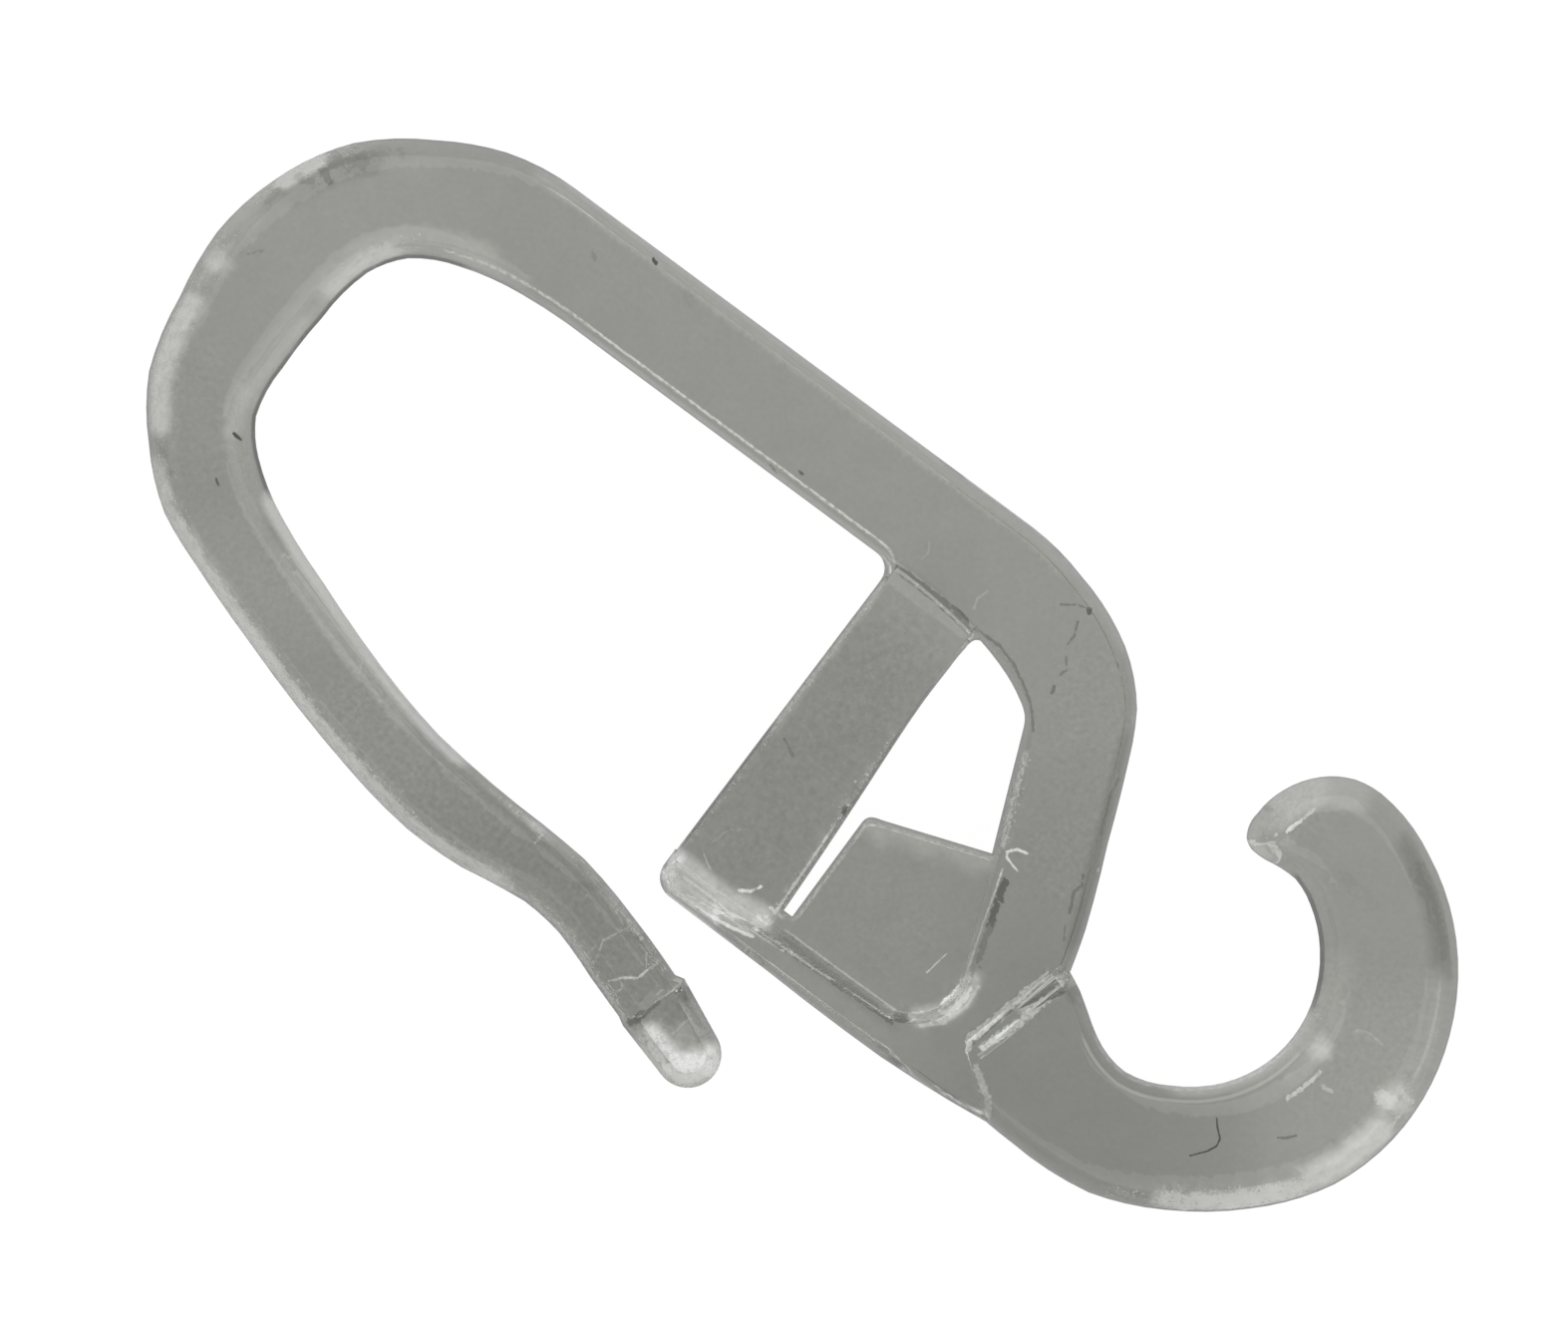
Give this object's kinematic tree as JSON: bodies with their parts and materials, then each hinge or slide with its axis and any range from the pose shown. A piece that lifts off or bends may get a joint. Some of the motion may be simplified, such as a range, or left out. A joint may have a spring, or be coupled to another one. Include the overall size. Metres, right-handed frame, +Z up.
{
  "type": "curtain hook",
  "caption": "Clear moulded plastic curtain hook: a flat sprung loop with a cross-bar and a web in its corner, and a small open hook beside it.",
  "frame": {"origin": "middle of the footprint's box, on the lower face", "axes": "+X along the straight back towards the small hook, +Y from the arm to the back, +Z up through the thickness"},
  "size_m": [0.038, 0.017, 0.0032],
  "materials": {
    "clear_plastic": "clear, polished by the mould"
  },
  "bodies": {
    "root": {"curtain_hook": "clear_plastic"}
  },
  "joints": []
}
